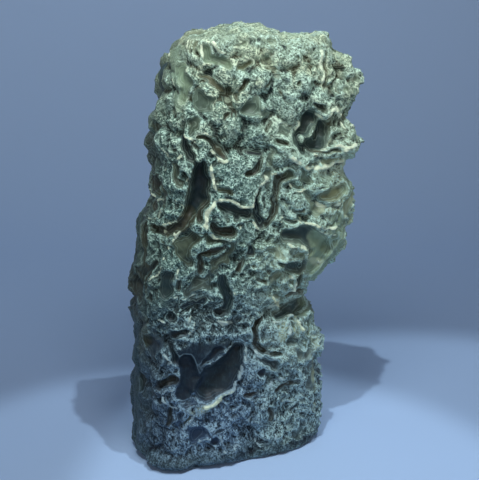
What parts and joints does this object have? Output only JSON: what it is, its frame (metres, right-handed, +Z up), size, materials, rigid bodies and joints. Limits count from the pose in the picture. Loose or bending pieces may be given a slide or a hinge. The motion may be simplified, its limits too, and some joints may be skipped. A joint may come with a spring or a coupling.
{
  "type": "moldavite",
  "caption": "Upright piece of natural green glass with an etched, pitted and furrowed skin, resting on a small flat foot.",
  "frame": {"origin": "middle of the bounding box, on the flat foot", "axes": "+Z up along the stone's length, -Y out of the broad etched face, +X to the right of that face"},
  "size_m": [0.0338, 0.0206, 0.0618],
  "materials": {
    "etched_glass": "dark bottle-green natural glass, frosted on the ridges, smooth and glossy in the hollows"
  },
  "bodies": {
    "root": {"stone": "etched_glass"}
  },
  "joints": []
}
